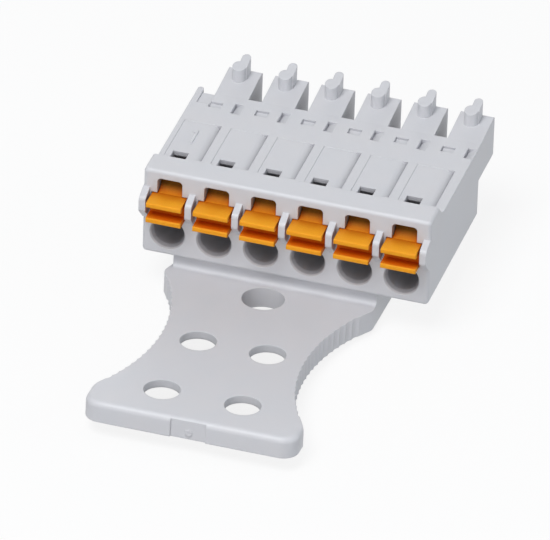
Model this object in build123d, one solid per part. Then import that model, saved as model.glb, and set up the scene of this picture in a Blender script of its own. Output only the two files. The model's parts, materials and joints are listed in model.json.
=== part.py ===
from build123d import *
import os
from math import asin, cos, degrees, radians, sin, tan

# Pluggable terminal block with a strain relief plate, in millimetres.
# X runs along the row of poles, Y from the wire side to the mating side, Z up.
# The origin is at the middle of the row, on the bottom edge of the front face.

# Row of poles
pitch = 3.5
poles = 6
left_margin = 1.88
body_gap = 0.05

# Housing, seen from the side
front_height = 7.05
collar_depth = 2.05
collar_drop = 1.0
ramp_length = 1.6
body_depth = 12.65
finger_length = 3.47
finger_rise = 0.3
finger_base = 3.1
front_round = 0.3
base_round = 0.25
side_round = 0.3

# Fingers and coding nubs
finger_width = 2.5
finger_offset = 0.79
finger_round = 0.2
nub_width = 0.66
nub_height = 1.25
nub_fall = 0.38
nub_offset = 0.08
nub_foot_radius = 0.5
nub_foot_setback = 1.3
nub_foot_offset = 0.17
tab_thickness = 0.45
tab_reach = 0.45
corner_drop = 0.15
corner_length = 1.5

# Top of the body
pad_left = 1.5
pad_right = 1.3
pad_end = 8.6
pad_step = 0.04
pad_shoulder = 0.75
pad_fall = 0.42
slot_width = 1.16
slot_offset = 0.45
slot_start = 3.1
slot_end = 4.45
slot_skin = 0.42
notch_width = 0.96
notch_length = 0.75
notch_depth = 0.45
notch_shallow = 0.2
notch_setback = 1.48
slit_offset = 1.33
slit_width = 0.7
slit_depth = 0.38
slit_setback = 2.15
slit_length = 1.35

# Wire entries
entry_mouth = 2.66
entry_bore = 2.3
entry_height = 1.86
funnel_depth = 0.45

# Guard ribs between the buttons
guard_width = 0.5
guard_reach = 1.05
guard_bottom = 2.95
guard_top = 5.55
guard_slope = 1.1
guard_fall = 0.4
guard_round = 0.4

# Push buttons
button_offset = 0.1
button_travel = 1.0
head_width = 2.6
head_height = 1.68
head_base = 3.44
head_reach = 1.5
lip_height = 0.42
blade_depth = 1.0
head_round = 0.12
crest_width = 1.75
crest_height = 1.15
crest_start = 0.1
crest_depth = 0.95
crest_angle = 19
shoulder_overhang = 0.13
shoulder_length = 1.0
tail_width = 1.6
tail_height = 1.3
tail_length = 1.35
window_wall = 0.9
window_gap = 0.06
window_round = 0.3
push_gap = 0.12

# Spring chambers and finger sockets
chamber_width = 2.7
chamber_start = 4.05
floor_wall = 0.5
roof_wall = 0.85
rear_wall = 1.15
hatch_width = 2.3
hatch_margin = 0.3
socket_width = 1.7
socket_height = 1.65
socket_roof = 0.75
socket_lap = 1.1
mouth_size = 1.35
mouth_wall = 0.65
mouth_flare = 0.2

# Clamp springs
spring_thickness = 0.25
spring_width = 1.8
spring_lap = 0.5
loop_height = 1.9
loop_round = 0.6
loop_gap = 1.0
knee_rise = 0.3
bend_radius = 0.45
spring_tip_rise = 0.55
spring_tip_run = 2.7

# Contacts
bar_thickness = 0.35
bar_width = 1.9
contact_gap = 0.55
tine_thickness = 0.3
tine_height = 1.25
tine_spread = 0.6
tine_pinch = 0.32
tine_root = 1.2
tine_gap = 0.7
tine_lip = 0.45
tine_flare = 0.12

# Strain relief plate
plate_middle = 1.0
plate_drop = 1.15
plate_tilt = 2.8
plate_thickness = 1.6
plate_length = 19.35
plate_half = 7.85
waist_half = 5.4
flank_start = 0.3
wing_length = 2.15
shoulder_round = 0.8
serrations = 21
serration_pitch = 0.72
serration_depth = 0.09
front_corner = 1.2
front_edge_round = 0.45
gate_width = 2.6
gate_depth = 0.12
root_half = 7.4
root_start = 1.1
root_length = 8.4
riser_front = 0.6
riser_length = 3.0
riser_round = 0.4
foot_length = 1.0
skirt_width = 1.0
skin_thickness = 0.62
coffer_start = 4.4
big_hole = 3.1
big_hole_place = 1.5
tie_hole = 2.65
rear_pair_half = 2.58
front_pair_half = 2.98
front_pair_inset = 3.35
post_width = 0.7
post_length = 1.4
post_height = 1.4
post_start = 1.35
barb = 0.25
barb_height = 0.5
posts = 4

# Worked out from the sizes above
first_pole = -(poles - 1) * pitch / 2
pole_places = [first_pole + i * pitch for i in range(poles)]
left_side = pole_places[0] - left_margin
right_side = pole_places[-1] + finger_offset + finger_width / 2
body_top = front_height - collar_drop
finger_top = body_top + finger_rise
rear_end = body_depth + finger_length
ramp_foot = collar_depth + ramp_length
chamber_roof = body_top - roof_wall
chamber_end = body_depth - rear_wall
head_top = head_base + head_height
crest_top = head_top + crest_height
window_width = head_width + 2 * window_gap
channel_width = head_width + 2 * shoulder_overhang + 2 * body_gap
shoulder_start = window_wall + body_gap
tail_start = shoulder_start + shoulder_length
bar_top = floor_wall + bar_thickness
socket_middle = body_top - socket_roof - socket_height / 2
socket_start = chamber_end - socket_lap
socket_end = rear_end - mouth_wall
riser_place = chamber_end - contact_gap - bar_thickness
tine_end = socket_end - tine_gap
loop_end = riser_place - loop_gap
notch_place = body_depth - notch_setback
slit_start = body_depth - slit_setback
plate_places = [pole_places[i] + pitch / 2 for i in range(posts)]
flank_end = plate_length - wing_length
waist_place = (flank_start + flank_end) / 2
front_pair_place = plate_length - front_pair_inset
waist_sag = plate_half - waist_half
half_chord = (flank_end - flank_start) / 2
waist_radius = (half_chord**2 + waist_sag**2) / (2 * waist_sag)
plate_slope = tan(radians(plate_tilt))
# Cutters run this far past the face that they open, and overlap each other by the lap.
past = pitch
lap = body_gap


def block(x0, x1, y0, y1, z0, z1):
    """A box between two corners."""
    low = (Align.MIN, Align.MIN, Align.MIN)
    return Pos(x0, y0, z0) * Box(x1 - x0, y1 - y0, z1 - z0, align=low)


def side_extrusion(face, x0, x1):
    """A face drawn in Y and Z, drawn out along X."""
    return Plane.YZ.offset(x0) * extrude(face, x1 - x0)


def rounded(face, places, radius):
    """Rounds the corners of a face that lie nearest to the places."""
    corners = [face.vertices().sort_by_distance((y, z, 0))[0] for y, z in places]
    return fillet(corners, radius)


def body_shell():
    """The moulding's outside: collar, ramp, body and the strip that the fingers are cut from."""
    outline = Polyline(
        (ramp_foot, body_top),
        (body_depth, body_top),
        (rear_end, finger_top),
        (rear_end, finger_base),
        (body_depth, finger_base),
        (body_depth, 0),
        (0, 0),
        (0, front_height),
        (collar_depth, front_height),
    )
    outline += TangentArc((ramp_foot, body_top), (collar_depth, front_height), tangent=(-1, 0))
    face = make_face(outline)
    face = rounded(face, [(0, front_height)], front_round)
    face = rounded(face, [(0, 0), (body_depth, 0)], base_round)
    face = rounded(face, [(rear_end, finger_top), (rear_end, finger_base)], finger_round)
    shell = side_extrusion(face, left_side, right_side)
    front_edges = shell.edges().filter_by(Axis.Z).group_by(Axis.Y)[0]
    return fillet(front_edges, side_round)


def finger_gaps():
    """What is cut away between the fingers, and round the tab and the lowered corner at the left."""
    high = front_height + past
    far = rear_end + past
    cuts = []
    for place in pole_places[:-1]:
        start = place + finger_offset + finger_width / 2
        end = place + pitch + finger_offset - finger_width / 2
        cuts.append(block(start, end, body_depth, far, -past, high))
    first_finger = pole_places[0] + finger_offset - finger_width / 2
    tab_side = left_side + tab_thickness
    tip_round = tab_thickness / 2
    tip_start = body_depth + tab_reach - tip_round
    tip = Pos(left_side + tip_round, tip_start) * Cylinder(tip_round, 2 * high)
    cuts.append(block(left_side - past, tab_side, tip_start, far, -past, high) - tip)
    cuts.append(block(tab_side, first_finger, body_depth, far, -past, high))
    corner_start = body_depth - corner_length
    cuts.append(block(tab_side, first_finger, corner_start, far, body_top - corner_drop, high))
    return cuts


def nub(place):
    """The coding nub on a finger: an upright rib with a round rear end, a round foot and a top that
    slopes down to the foot."""
    middle = place + finger_offset
    rib_middle = middle + nub_offset
    rib_end = rear_end - nub_width / 2
    foot_place = rear_end - nub_foot_setback
    rib = Pos(rib_middle, (foot_place + rib_end) / 2) * Rectangle(nub_width, rib_end - foot_place)
    foot = Pos(middle - nub_foot_offset, foot_place) * Circle(nub_foot_radius)
    face = rib + foot + Pos(rib_middle, rib_end) * Circle(nub_width / 2)
    sunk = body_top - finger_round
    top = finger_top + nub_height
    start = foot_place - nub_foot_radius
    slope = Polyline((rear_end, top), (start, top), (start, top - nub_fall), close=True)
    wedge = side_extrusion(make_face(slope), middle - finger_width / 2, middle + finger_width / 2)
    return Pos(0, 0, sunk) * extrude(face, top - sunk) - wedge


def pad_cut(place):
    """The sunk pad over a pole: nearly level with the body, with a round fall along its right side."""
    left = place - pad_left
    right = place + pad_right
    high = body_top + past
    floor = body_top - pad_step
    crown = (right - pad_shoulder, floor)
    foot = (right, floor - pad_fall)
    outline = Polyline(foot, (right, high), (left, high), (left, floor), crown)
    outline += TangentArc(crown, foot, tangent=(1, 0))
    return Pos(0, ramp_foot, 0) * extrude(Plane.XZ * make_face(outline), ramp_foot - pad_end)


def test_slot(place):
    """The slot behind the collar, through which a probe reaches the clamp."""
    middle = place - slot_offset
    left = middle - slot_width / 2
    right = middle + slot_width / 2
    deep = chamber_roof - lap
    relief_top = body_top - slot_skin
    opening = block(left, right, slot_start, slot_end, deep, front_height)
    return opening + block(left, right, slot_start, slot_end + slot_skin, deep, relief_top)


def latch_notch(place):
    """The small notch before the gap, with a floor that slopes up to the rear."""
    start = notch_place - notch_length / 2
    end = notch_place + notch_length / 2
    high = body_top + past
    deep = body_top - notch_depth
    shallow = body_top - notch_shallow
    outline = Polyline((start, high), (start, deep), (end, shallow), (end, high), close=True)
    return side_extrusion(make_face(outline), place - notch_width / 2, place + notch_width / 2)


def latch_slit(place):
    """The slit beside the notch: a wall that faces right and a floor that slopes up to the right."""
    left = place + slit_offset
    right = left + slit_width
    high = body_top + past
    low = body_top - slit_depth
    floor = Polyline((left, low), (right, body_top), (right, high), (left, high), close=True)
    return Pos(0, slit_start, 0) * extrude(Plane.XZ * make_face(floor), -slit_length)


def wire_entry(place):
    """The funnel and the bore that a wire goes in by."""
    spin = Location((place, 0, entry_height), (-90, 0, 0))
    low = (Align.CENTER, Align.CENTER, Align.MIN)
    funnel = spin * Cone(entry_mouth / 2, entry_bore / 2, funnel_depth, align=low)
    return funnel + spin * Cylinder(entry_bore / 2, chamber_start + lap, align=low)


def button_window(place):
    """The stepped window in the face, and the wider channel behind it that the button runs in."""
    middle = place + button_offset
    low = head_base - window_gap
    high = head_top + window_gap
    half = window_width / 2
    crest_half = crest_width / 2 + window_gap
    top = crest_top + 2 * window_gap
    lower = block(middle - half, middle + half, -past, window_wall + lap, low, high)
    upper_face = Pos(middle, (low + top) / 2) * Rectangle(2 * crest_half, top - low)
    upper_face = fillet(upper_face.vertices().group_by(Axis.Y)[-1], window_round)
    reach = crest_depth + button_travel + 2 * body_gap
    upper = Plane.XZ.offset(past) * extrude(upper_face, -reach - past)
    wide = channel_width / 2
    channel = block(middle - wide, middle + wide, window_wall, chamber_start + lap, low, high)
    return lower + upper + channel


def spring_chamber(place):
    """The room for the clamp and the current bar, with the hatch that they are fitted through."""
    half = chamber_width / 2
    room = block(place - half, place + half, chamber_start, chamber_end, floor_wall, chamber_roof)
    half = hatch_width / 2
    hatch_top = finger_base - hatch_margin
    hatch = block(place - half, place + half, chamber_end - lap, body_depth + past, floor_wall, hatch_top)
    return room + hatch


def finger_socket(place):
    """The hollow of a finger and its square, flared mouth for the pin."""
    middle = place + finger_offset
    half = socket_width / 2
    low = socket_middle - socket_height / 2
    high = socket_middle + socket_height / 2
    hollow = block(middle - half, middle + half, socket_start, socket_end, low, high)
    face = Plane((middle, rear_end, socket_middle), x_dir=(1, 0, 0), z_dir=(0, 1, 0))
    mouth = face * extrude(Rectangle(mouth_size, mouth_size), -mouth_wall - lap)
    wide = mouth_size + 2 * mouth_flare
    rims = [face * Rectangle(wide, wide), face.offset(-mouth_flare) * Rectangle(mouth_size, mouth_size)]
    return hollow + mouth + loft(rims)


def guard_rib(x):
    """A rib beside the buttons, that keeps a finger off them."""
    nose_top = (-guard_reach, guard_top - guard_fall)
    nose_base = (-guard_reach, guard_bottom + guard_slope)
    outline = Polyline(
        (side_round, guard_bottom),
        (side_round, guard_top),
        (0, guard_top),
        nose_top,
        nose_base,
        (0, guard_bottom),
        close=True,
    )
    face = rounded(make_face(outline), [nose_top, nose_base], guard_round)
    return side_extrusion(face, x, x + guard_width)


def guard_ribs():
    """One rib at each end of the row and one between each two buttons."""
    half = guard_width / 2
    inner = [place + pitch / 2 + button_offset / 2 - half for place in pole_places[:-1]]
    return [guard_rib(x) for x in [left_side, *inner, right_side - guard_width]]


def post_pocket(place):
    """A pocket in the base between two wire bores, undercut for the plate's barb."""
    half = post_width / 2 + body_gap
    start = post_start - body_gap
    end = post_start + post_length + body_gap
    top = post_height + body_gap
    shaft = block(place - half, place + half, start, end, -past, top)
    undercut_base = post_height - barb_height - body_gap
    return shaft + block(place - half, place + half, start, end + barb, undercut_base, top)


def build_housing():
    """The one-piece moulding."""
    housing = body_shell()
    for cut in finger_gaps():
        housing -= cut
    housing += guard_ribs()
    housing += [nub(place) for place in pole_places]
    top_cuts = (pad_cut, test_slot, latch_notch, latch_slit)
    inner_cuts = (wire_entry, button_window, spring_chamber, finger_socket)
    for place in pole_places:
        for cutter in top_cuts + inner_cuts:
            housing -= cutter(place)
    for place in plate_places:
        housing -= post_pocket(place)
    return housing


def button_crest(middle):
    """The crest in the window: a hollow curve that climbs from the head, round at its upper corners."""
    half = crest_width / 2
    low = head_top - lip_height / 2
    outline = Polyline(
        (crest_start, head_top),
        (crest_start, low),
        (shoulder_start + body_gap, low),
        (shoulder_start + body_gap, crest_top),
        (crest_depth, crest_top),
    )
    lead = (cos(radians(crest_angle)), sin(radians(crest_angle)))
    outline += TangentArc((crest_start, head_top), (crest_depth, crest_top), tangent=lead)
    front = Pos(middle, (low + crest_top) / 2) * Rectangle(crest_width, crest_top - low)
    front = fillet(front.vertices().group_by(Axis.Y)[-1], window_round - window_gap)
    crest = side_extrusion(make_face(outline), middle - half, middle + half)
    return crest & (Plane.XZ * extrude(front, -past))


def build_button(place):
    """A push button: slotted head, crest seen in the window, shoulder behind the wall, and tail."""
    middle = place + button_offset
    blade_top = head_top - lip_height
    blade_bottom = head_base + lip_height
    blade_end = blade_depth - head_reach
    outline = Polyline(
        (shoulder_start, head_base),
        (shoulder_start, head_top),
        (-head_reach, head_top),
        (-head_reach, blade_top),
        (blade_end, blade_top),
        (blade_end, blade_bottom),
        (-head_reach, blade_bottom),
        (-head_reach, head_base),
        close=True,
    )
    face = rounded(make_face(outline), [(-head_reach, head_top), (-head_reach, head_base)], head_round)
    face = rounded(face, [(-head_reach, blade_top), (-head_reach, blade_bottom)], head_round)
    button = side_extrusion(face, middle - head_width / 2, middle + head_width / 2)
    half = head_width / 2 + shoulder_overhang
    button += block(middle - half, middle + half, shoulder_start, tail_start, head_base, head_top)
    half = tail_width / 2
    low = (head_base + head_top - tail_height) / 2
    tail_end = tail_start + tail_length
    button += block(middle - half, middle + half, tail_start, tail_end, low, low + tail_height)
    return button + button_crest(middle)


def build_spring(place):
    """A folded clamp spring, open as with a wire in it."""
    half = spring_thickness / 2
    leg = chamber_roof - half
    end = loop_end - half
    bend = tail_start + tail_length + button_travel + push_gap + half
    path = FilletPolyline(
        (bend + spring_lap, leg),
        (end, leg),
        (end, leg - loop_height),
        (bend, leg - loop_height + knee_rise),
        (bend + spring_tip_run, bar_top + spring_tip_rise),
        radius=[loop_round, loop_round, bend_radius],
    )
    strip = trace(path, spring_thickness)
    return side_extrusion(strip, place - spring_width / 2, place + spring_width / 2)


def tine(side):
    """One tine of a fork, drawn in X and Y, bent in to pinch the pin and out again at its lip."""
    pinch = tine_pinch + tine_thickness / 2
    path = Polyline(
        (side * tine_spread, riser_place),
        (side * tine_spread, riser_place + tine_root),
        (side * pinch, tine_end - tine_lip),
        (side * (pinch + tine_flare), tine_end),
    )
    return extrude(trace(path, tine_thickness), tine_height)


def build_contact(place):
    """A current bar that lies on the chamber's floor, turns up at its end and forks into the finger."""
    half = bar_width / 2
    middle = place + finger_offset
    start = chamber_start + body_gap
    bar_end = riser_place + bar_thickness
    base = socket_middle - tine_height / 2
    outline = Polyline(
        (start, floor_wall),
        (bar_end, floor_wall),
        (bar_end, base + bar_thickness),
        (riser_place, base + bar_thickness),
        (riser_place, bar_top),
        (start, bar_top),
        close=True,
    )
    face = rounded(make_face(outline), [(bar_end, floor_wall)], bar_thickness)
    contact = side_extrusion(face, place - half, place + half)
    reach = tine_spread + tine_thickness / 2
    contact += block(middle - reach, middle + reach, riser_place, bar_end, base, base + tine_height)
    for side in (-1, 1):
        contact += Pos(middle, 0, base) * tine(side)
    return contact


def plate_side(root_width):
    """The right half of the plate from above, with a root of this half width behind the shoulder."""
    shoulder = (plate_half, -flank_start)
    hip = (plate_half, -flank_end)
    half = Polyline((0, root_length), (root_width, root_length), (root_width, root_start), shoulder)
    half += RadiusArc(shoulder, hip, -waist_radius)
    half += Polyline(hip, (plate_half, -plate_length), (0, -plate_length), (0, root_length))
    face = rounded(make_face(half), [shoulder], shoulder_round)
    return rounded(face, [(plate_half, -plate_length)], front_corner)


def plate_outline():
    """The plate from above: a wide front, a waist and the root, with a step at its left side only."""
    return plate_side(plate_half) + mirror(plate_side(root_half), Plane.YZ)


def flank_serrations():
    """The round grooves that let a cable tie grip both flanks."""
    groove = (serration_pitch**2 / 4 + serration_depth**2) / (2 * serration_depth)
    step = 2 * degrees(asin(serration_pitch / (2 * waist_radius)))
    reach = waist_radius - groove + serration_depth
    centre = waist_half + waist_radius
    grooves = []
    for i in range(serrations):
        turn = Rot(0, 0, (i - (serrations - 1) / 2) * step)
        grooves.append(Pos(centre, -waist_place) * turn * Pos(-reach, 0) * Circle(groove))
        grooves.append(Pos(-centre, -waist_place) * turn * Pos(reach, 0) * Circle(groove))
    return grooves


def plate_coffer(face):
    """The hollow under the plate's front part, that leaves a skirt round its edge."""
    inner = offset(face, -skirt_width)
    reach = plate_length + root_length
    front = Pos(0, -coffer_start - reach / 2) * Rectangle(4 * plate_half, reach)
    depth = plate_thickness - skin_thickness
    return Pos(0, 0, -plate_thickness) * extrude(inner & front, depth)


def plate_holes():
    """The large hole by the riser and the four for cable ties."""
    holes = Pos(0, -big_hole_place) * Circle(big_hole / 2)
    for half, far in ((rear_pair_half, waist_place), (front_pair_half, front_pair_place)):
        for side in (-1, 1):
            holes += Pos(side * half, -far) * Circle(tie_hole / 2)
    return Pos(0, 0, -2 * plate_thickness) * extrude(holes, 3 * plate_thickness)


def riser():
    """The step under the housing's base, with a rounded foot where it meets the plate."""
    sunk = -plate_drop - plate_thickness / 2
    rear = riser_front + riser_length
    toe = riser_front - riser_round - 2 * lap
    corner = (riser_front, -plate_drop - riser_front * plate_slope)
    outline = Polyline(
        (rear, sunk),
        (rear, 0),
        (riser_front, 0),
        corner,
        (toe, -plate_drop - toe * plate_slope),
        (toe, sunk),
        close=True,
    )
    face = rounded(make_face(outline), [corner], riser_round)
    return side_extrusion(face, -plate_middle - root_half, -plate_middle + plate_half)


def rear_ledge():
    """The ledge at the root's end, that bears on the housing's base."""
    rear = root_length * cos(radians(plate_tilt))
    sunk = -plate_drop - plate_thickness / 2
    return block(-plate_middle - root_half, -plate_middle + plate_half, rear - foot_length, rear, sunk, 0)


def clip_post(x):
    """A post that stands on the riser, with a barb behind it."""
    end = post_start + post_length
    barb_base = post_height - barb_height
    outline = Polyline(
        (post_start, -plate_drop / 2),
        (end, -plate_drop / 2),
        (end, barb_base),
        (end + barb, barb_base),
        (end, post_height),
        (post_start, post_height),
        close=True,
    )
    return side_extrusion(make_face(outline), x - post_width / 2, x + post_width / 2)


def build_plate():
    """The strain relief plate: serrated flanks, coffered below, clipped up into the housing's base."""
    outline = plate_outline()
    face = outline - flank_serrations()
    plate = Pos(0, 0, -plate_thickness) * extrude(face, plate_thickness)
    top_edges = plate.edges().group_by(Axis.Z)[-1]
    front_edges = [edge for edge in top_edges if edge.center().Y < front_corner - plate_length]
    plate = fillet(front_edges, front_edge_round)
    plate -= plate_coffer(outline)
    plate -= Pos(0, -plate_length) * Box(gate_width, 2 * gate_depth, 3 * plate_thickness)
    lean = Pos(-plate_middle, 0, -plate_drop) * Rot(-plate_tilt, 0, 0)
    plate = lean * plate + [riser(), rear_ledge()]
    plate += [clip_post(x) for x in plate_places]
    return plate - lean * plate_holes()


def save(part, name):
    """Writes one piece to its own file."""
    export_step(part, f"parts/{name}.step")


def main():
    os.makedirs("parts", exist_ok=True)
    save(build_housing(), "housing")
    save(build_plate(), "strain_relief_plate")
    for i, place in enumerate(pole_places, start=1):
        save(build_button(place), f"push_button_{i}")
        save(build_spring(place), f"clamp_spring_{i}")
        save(build_contact(place), f"contact_{i}")


main()
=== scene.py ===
import bpy
import json
from math import pi, radians
from mathutils import Matrix, Vector


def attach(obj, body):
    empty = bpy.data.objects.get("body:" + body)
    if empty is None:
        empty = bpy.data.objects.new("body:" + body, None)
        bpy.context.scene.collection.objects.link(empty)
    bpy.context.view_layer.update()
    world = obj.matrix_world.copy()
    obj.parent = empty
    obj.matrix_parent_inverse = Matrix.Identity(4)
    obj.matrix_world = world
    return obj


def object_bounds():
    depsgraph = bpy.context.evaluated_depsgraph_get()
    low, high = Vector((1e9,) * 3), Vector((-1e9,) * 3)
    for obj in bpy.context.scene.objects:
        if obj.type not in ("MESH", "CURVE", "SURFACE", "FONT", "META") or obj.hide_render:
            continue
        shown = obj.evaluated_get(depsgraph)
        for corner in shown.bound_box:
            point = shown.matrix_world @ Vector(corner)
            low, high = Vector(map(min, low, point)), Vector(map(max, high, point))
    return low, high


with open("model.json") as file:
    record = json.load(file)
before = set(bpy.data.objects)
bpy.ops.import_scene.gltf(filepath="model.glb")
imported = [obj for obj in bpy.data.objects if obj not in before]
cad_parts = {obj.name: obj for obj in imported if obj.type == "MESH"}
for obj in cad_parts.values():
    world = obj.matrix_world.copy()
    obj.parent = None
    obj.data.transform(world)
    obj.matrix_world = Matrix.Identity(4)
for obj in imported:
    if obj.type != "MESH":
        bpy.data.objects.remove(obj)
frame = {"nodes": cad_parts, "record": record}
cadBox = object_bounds()
mm = 0.001          # sizes are in millimetres where no note says otherwise
shadingSamples = 8  # rays for the shade in recesses and for rounded edges
print("frame loaded,", len(frame["nodes"]), "nodes")


def screenColour(red, green, blue):  # 0 to 255 as seen on screen, to Blender's linear values
    parts = [channel / 255 for channel in (red, green, blue)]
    return [part / 12.92 if part < 0.04045 else ((part + 0.055) / 1.055) ** 2.4 for part in parts] + [1]


class Wire:  # one output of a node, so that shader maths can be written out
    def __init__(self, finish, socket):
        self.finish = finish
        self.socket = socket

    def __add__(self, other):
        return self.finish.maths("ADD", self, other)

    def __radd__(self, other):
        return self.finish.maths("ADD", other, self)

    def __sub__(self, other):
        return self.finish.maths("SUBTRACT", self, other)

    def __rsub__(self, other):
        return self.finish.maths("SUBTRACT", other, self)

    def __mul__(self, other):
        return self.finish.maths("MULTIPLY", self, other)

    def __rmul__(self, other):
        return self.finish.maths("MULTIPLY", other, self)


class Finish:  # a material or a world, built node by node
    def __init__(self, owner):
        self.owner = owner
        self.owner.use_nodes = True
        self.tree = self.owner.node_tree
        self.tree.nodes.clear()

    def node(self, kind, settings={}, sockets={}, output=0):
        made = self.tree.nodes.new("ShaderNode" + kind)
        for name, value in settings.items():
            setattr(made, name, value)
        for name, value in sockets.items():
            if isinstance(value, Wire):
                self.tree.links.new(value.socket, made.inputs[name])
            else:
                made.inputs[name].default_value = value
        return Wire(self, made.outputs[output] if len(made.outputs) else None)

    def maths(self, operation, first, second):
        return self.node("Math", {"operation": operation}, {0: first, 1: second})

    def noise(self, size, detail, stretch=(1, 1, 1)):  # size is that of one blotch
        scale = [1 / (size * mm * along) for along in stretch]
        place = self.node("TexCoord", output="Object")
        turned = self.node("Mapping", {}, {"Vector": place, "Scale": scale})
        return self.node("TexNoise", {}, {"Vector": turned, "Scale": 1, "Detail": detail})

    def mix(self, amount, colour, other):
        return self.node("Mix", {"data_type": "RGBA"}, {0: amount, 6: colour, 7: other}, output=2)

    def place(self, axis):  # in the object's own frame
        metres = self.node("TexCoord", output="Object")
        return self.node("SeparateXYZ", {}, {"Vector": metres}, output=axis) * (1 / mm)

    def between(self, value, low, high):  # 0 at low, 1 at high
        return self.node("MapRange", {}, {"Value": value, "From Min": low, "From Max": high})

    def relief(self, height, distance, edge):  # bumps, on edges that are rounded
        rounded = self.node("Bevel", {"samples": shadingSamples}, {"Radius": edge * mm})
        return self.node("Bump", {}, {"Height": height, "Distance": distance * mm, "Normal": rounded})

    def surface(self, sockets):
        shader = self.node("BsdfPrincipled", {}, sockets, output="BSDF")
        self.node("OutputMaterial", {}, {"Surface": shader})
        return self.owner

    def seen(self):  # 1 where the camera or a reflection looks, 0 where light is gathered
        kinds = ("Camera", "Glossy", "Transmission")
        camera, glossy, clear = [self.node("LightPath", output=f"Is {kind} Ray") for kind in kinds]
        return self.maths("MAXIMUM", camera, self.maths("MAXIMUM", glossy, clear))


def mouldedPlastic(finish, look, paintedShade, entryShadeMask=0):
    blotch = finish.noise(look["blotch"], look["blotchDetail"])
    grain = finish.noise(look["grain"], look["grainDetail"])
    # painted shade: the recess colour is mixed in where ambient occlusion finds walls close by
    reach = {"Distance": look["paintedShadeReach"] * mm}
    openness = finish.node("AmbientOcclusion", {"samples": shadingSamples}, reach, output="AO")
    shade = finish.between(openness, look["paintedShadeFrom"], look["paintedShadeTo"]) * (1 - entryShadeMask)
    colour = finish.mix(blotch, look["colour"], look["blotchColour"])
    roughness = look["roughness"] + look["blotchRoughness"] * blotch + look["grainRoughness"] * grain
    return finish.surface({
        "Base Color": finish.mix(shade, paintedShade, colour),
        "Roughness": roughness,
        "Specular IOR Level": look["specular"],
        "Subsurface Weight": look["softness"],
        "Subsurface Radius": look["spread"],
        "Subsurface Scale": look["depth"] * mm,
        "Normal": finish.relief(grain, look["grainHeight"], look["edge"]),
    })


greyPlastic = {
    "colour": screenColour(206, 208, 213),
    "blotchColour": screenColour(211, 210, 213),
    "paintedShade": screenColour(164, 164, 171),  # painted shade deep in a slot or a window
    "paintedShadeReach": 1.8,                     # how far off a wall still gets painted shade
    "paintedShadeFrom": 0.12,                     # how open a place is where that painted shade is full
    "paintedShadeTo": 0.43,                       # and where it ends
    "entryShade": screenColour(138, 138, 145),   # painted shade deep in a wire entry
    "entryShadeShare": 0.62,                     # how much of that painted shade the whole entry has
    "entryBox": {"X": (-10.3, 10.3), "Y": (0.12, 4), "Z": (0.3, 3.4)},  # the entries lie in it
    "entryFade": 0.1,
    "blotch": 2.5,
    "blotchDetail": 3,
    "blotchRoughness": 0.06,
    "grain": 0.06,
    "grainDetail": 2,
    "grainRoughness": 0.05,
    "grainHeight": 0.0025,
    "roughness": 0.35,
    "specular": 0.5,
    "softness": 0.25,                       # how much of the light goes into the plastic
    "depth": 0.12,                          # and how far
    "spread": (1, 1, 1),                    # parts of that depth for red, green and blue
    "edge": 0.09,
}


def housingPlastic(finish, look):
    # painted shade in the wire entries: a box mask mixes the darker entry colour in
    entryShadeMask = 1
    for axis, (low, high) in look["entryBox"].items():
        place = finish.place(axis)
        entryShadeMask = entryShadeMask * finish.between(place, low, low + look["entryFade"])
        entryShadeMask = entryShadeMask * finish.between(place, high + look["entryFade"], high)
    paintedShade = finish.mix(entryShadeMask, look["paintedShade"], look["entryShade"])
    return mouldedPlastic(finish, look, paintedShade, entryShadeMask * look["entryShadeShare"])


orangePlastic = {
    "colour": screenColour(243, 168, 46),
    "blotchColour": screenColour(238, 158, 36),
    "paintedShade": screenColour(206, 88, 3),     # painted shade deep in the slot
    "crest": screenColour(92, 54, 0),       # painted shadow on the crest under the top of the window
    "crestFrom": 4.95,                      # heights between which the painted shade turns into the painted shadow
    "crestTo": 5.6,
    "paintedShadeReach": 2.0,
    "paintedShadeFrom": 0.36,
    "paintedShadeTo": 0.86,
    "blotch": 1.2,
    "blotchDetail": 3,
    "blotchRoughness": 0.06,
    "grain": 0.05,
    "grainDetail": 2,
    "grainRoughness": 0.05,
    "grainHeight": 0.0015,
    "roughness": 0.45,
    "specular": 0.08,
    "softness": 0.25,
    "depth": 0.25,
    "spread": (1, 0.6, 0.2),
    "edge": 0.07,
}


def buttonPlastic(finish, look):
    # painted shadow: the crest darkens with height, where the window's top shades it
    crestShadowMask = finish.between(finish.place("Z"), look["crestFrom"], look["crestTo"])
    return mouldedPlastic(finish, look, finish.mix(crestShadowMask, look["paintedShade"], look["crest"]))


springSteel = {
    "colour": screenColour(196, 196, 194),
    "darker": screenColour(172, 171, 168),
    "streak": 0.03,                         # the width of one rolling mark
    "streakStretch": (1, 40, 40),
    "streakDetail": 3,
    "streakRoughness": 0.12,
    "streakHeight": 0.001,
    "roughness": 0.28,
    "edge": 0.03,
}


def rolledSteel(finish, look):
    streak = finish.noise(look["streak"], look["streakDetail"], look["streakStretch"])
    return finish.surface({
        "Base Color": finish.mix(streak, look["colour"], look["darker"]),
        "Metallic": 1,
        "Roughness": look["roughness"] + look["streakRoughness"] * streak,
        "Normal": finish.relief(streak, look["streakHeight"], look["edge"]),
    })


tinnedCopper = {
    "colour": screenColour(214, 213, 208),
    "darker": screenColour(190, 186, 176),
    "spangle": 0.35,
    "spangleDetail": 4,
    "spangleRoughness": 0.15,
    "spangleHeight": 0.001,
    "roughness": 0.34,
    "edge": 0.03,
}


def tinPlate(finish, look):
    spangle = finish.noise(look["spangle"], look["spangleDetail"])
    return finish.surface({
        "Base Color": finish.mix(spangle, look["colour"], look["darker"]),
        "Metallic": 1,
        "Roughness": look["roughness"] + look["spangleRoughness"] * spangle,
        "Normal": finish.relief(spangle, look["spangleHeight"], look["edge"]),
    })


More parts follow.
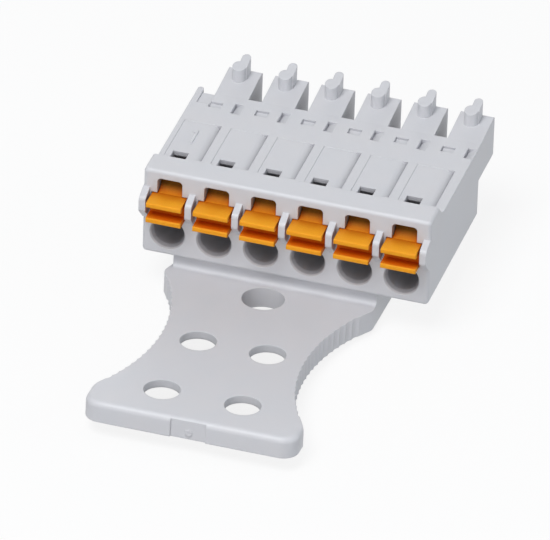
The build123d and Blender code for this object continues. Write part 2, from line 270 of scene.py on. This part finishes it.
makers = {
    "grey_plastic": (housingPlastic, greyPlastic),
    "orange_plastic": (buttonPlastic, orangePlastic),
    "spring_steel": (rolledSteel, springSteel),
    "tinned_copper": (tinPlate, tinnedCopper),
}
finishes = {}
for slot, (make, look) in makers.items():
    finishes[slot] = make(Finish(bpy.data.materials.new(slot)), look)
for part in frame["record"]["subparts"]:
    slots = frame["nodes"][part["node"]].data.materials
    slots.clear()
    slots.append(finishes[part["material_slot"]])
print("finishes on all nodes")


bevelSteps = 2
smoothAngle = 40  # degrees


def softenEdges(soft):  # of the piece that was just added
    bpy.ops.object.transform_apply(location=True, rotation=True, scale=True)
    bpy.ops.object.mode_set(mode="EDIT")
    bpy.ops.mesh.select_all(action="SELECT")
    bpy.ops.mesh.bevel(offset=soft * mm, segments=bevelSteps)
    bpy.ops.object.mode_set(mode="OBJECT")
    bpy.ops.object.shade_smooth_by_angle(angle=radians(smoothAngle))
    return bpy.context.object


def endPiece(piece, name, body, slot):
    piece.name = name
    piece.data.name = name
    piece.data.materials.clear()
    piece.data.materials.append(finishes[slot])
    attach(piece, body)


numeral = {  # the raised 1 on the first pole's pad
    "across": -8.89,
    "along": 6.58,
    "up": 6.01,
    "height": 1.7,
    "stroke": 0.16,
    "rise": 0.1,
    "flag": 0.34,
    "flagSide": 0.12,   # how far left of the stem the flag's middle is
    "flagDrop": 0.14,   # and how far below its top
    "flagTurn": -38,    # degrees
    "soft": 0.02,
}


def addStroke(across, along, length, turn):
    bpy.ops.object.select_all(action="DESELECT")
    place = (across * mm, along * mm, numeral["up"] * mm)
    bpy.ops.mesh.primitive_cube_add(size=1, location=place, rotation=(0, 0, radians(turn)))
    bpy.context.object.scale = (numeral["stroke"] * mm, length * mm, 2 * numeral["rise"] * mm)
    return softenEdges(numeral["soft"])


def raiseNumeral():
    flagAcross = numeral["across"] - numeral["flagSide"]
    flagAlong = numeral["along"] + numeral["height"] / 2 - numeral["flagDrop"]
    flag = addStroke(flagAcross, flagAlong, numeral["flag"], numeral["flagTurn"])
    stem = addStroke(numeral["across"], numeral["along"], numeral["height"], 0)
    union = stem.modifiers.new("flag", "BOOLEAN")
    union.operation = "UNION"
    union.object = flag
    bpy.ops.object.modifier_apply(modifier=union.name)
    bpy.data.objects.remove(flag)
    endPiece(stem, "poleNumeral", "housing_body", "grey_plastic")


gateMark = {  # where the moulding was broken off, on the plate's front edge
    "place": (-0.97, -19.24, -1.3),
    "radius": 0.28,
    "rise": 0.11,
    "sides": 32,
    "soft": 0.03,
    "frontNormal": -0.99,   # a face whose normal's Y is less than this looks to the front
    "rim": 0.1,             # the width of the rim round the torn middle
    "dip": 0.02,
}


def leaveGateMark():
    bpy.ops.object.select_all(action="DESELECT")
    place = [part * mm for part in gateMark["place"]]
    bpy.ops.mesh.primitive_cylinder_add(
        vertices=gateMark["sides"], radius=gateMark["radius"] * mm, depth=2 * gateMark["rise"] * mm,
        location=place, rotation=(pi / 2, 0, 0),
    )
    mark = softenEdges(gateMark["soft"])
    for face in mark.data.polygons:
        face.select = face.normal.y < gateMark["frontNormal"]
    for edge in mark.data.edges:
        edge.select = False
    for corner in mark.data.vertices:
        corner.select = False
    bpy.ops.object.mode_set(mode="EDIT")
    bpy.ops.mesh.select_mode(type="FACE")
    bpy.ops.mesh.inset(thickness=gateMark["rim"] * mm)
    bpy.ops.transform.translate(value=(0, gateMark["dip"] * mm, 0))
    bpy.ops.object.mode_set(mode="OBJECT")
    endPiece(mark, "gateMark", "housing_body", "grey_plastic")


raiseNumeral()
leaveGateMark()
print("numeral and gate mark on")


studio = {
    "floorSize": 2.0,                   # metres
    "floorGap": 0.02,
    "floorColour": (0.5, 0.5, 0.51, 1),
    "floorShown": (0.9, 0.9, 0.9, 1),   # its colour for the camera and reflections
    "floorGlow": 0.86,                  # how much of what they see there is the backdrop instead
    "backdrop": (1, 1, 1, 1),
    "ambient": 0.33,
    "ambientColour": (0.94, 0.97, 1, 1),
    "lamps": {  # place and size in metres, power in watts
        "overhead": {"place": (-0.05, -0.23, 0.41), "size": 0.24, "power": 1.42, "colour": (0.99, 0.99, 1)},
        "rightFill": {"place": (0.42, 0.12, 0.12), "size": 0.3, "power": 0.36, "colour": (0.86, 0.93, 1)},
        "frontFill": {"place": (0.06, -0.46, 0.12), "size": 0.3, "power": 0.38, "colour": (1, 1, 1)},
        "backFill": {"place": (-0.12, 0.46, 0.08), "size": 0.3, "power": 0.2, "colour": (1, 1, 1)},
    },
}


def layFloor():
    bpy.ops.object.select_all(action="DESELECT")
    under = (0, 0, cadBox[0].z - studio["floorGap"] * mm)
    bpy.ops.mesh.primitive_plane_add(size=studio["floorSize"], location=under)
    floor = bpy.context.object
    floor.name = "floor"
    finish = Finish(bpy.data.materials.new("paleFloor"))
    seen = finish.seen()
    shown = finish.mix(seen, studio["floorColour"], studio["floorShown"])
    plain = finish.node("BsdfDiffuse", {}, {"Color": shown})
    white = finish.node("Emission", {}, {"Color": studio["backdrop"]})
    mixed = finish.node("MixShader", {}, {0: seen * studio["floorGlow"], 1: plain, 2: white})
    finish.node("OutputMaterial", {}, {"Surface": mixed})
    floor.data.materials.append(finish.owner)


def lightStudio():
    room = Finish(bpy.data.worlds.new("studio"))
    ambient = room.node("Background", {}, {"Color": studio["ambientColour"], "Strength": studio["ambient"]})
    white = room.node("Background", {}, {"Color": studio["backdrop"]})
    mixed = room.node("MixShader", {}, {0: room.seen(), 1: ambient, 2: white})
    room.node("OutputWorld", {}, {"Surface": mixed})
    bpy.context.scene.world = room.owner
    for name, lamp in studio["lamps"].items():
        bpy.ops.object.light_add(type="AREA", location=lamp["place"])
        light = bpy.context.object
        light.name = name
        light.data.shape = "DISK"
        light.data.size = lamp["size"]
        light.data.energy = lamp["power"]
        light.data.color = lamp["colour"]
        light.rotation_euler = (-Vector(lamp["place"])).to_track_quat("-Z", "Y").to_euler()


cameraView = {
    "target": (-1.133, 1.747, -0.665),  # the point in the middle of the picture
    "azimuth": 16.13,                   # degrees, as are the next two
    "elevation": 33.37,
    "roll": 1.98,
    "distance": 838.8,
    "lens": 766.4,
}


def placeCamera():
    turn = Matrix.Rotation(radians(cameraView["azimuth"]), 4, "Z")
    turn = turn @ Matrix.Rotation(pi / 2 - radians(cameraView["elevation"]), 4, "X")
    turn = turn @ Matrix.Rotation(radians(cameraView["roll"]), 4, "Z")
    back = turn @ Vector((0, 0, cameraView["distance"] * mm))
    bpy.ops.object.camera_add()
    camera = bpy.context.object
    camera.matrix_world = Matrix.Translation(Vector(cameraView["target"]) * mm + back) @ turn
    camera.data.lens = cameraView["lens"]
    bpy.context.scene.camera = camera


layFloor()
lightStudio()
placeCamera()
bpy.context.scene.view_settings.view_transform = "Standard"
print("studio ready")
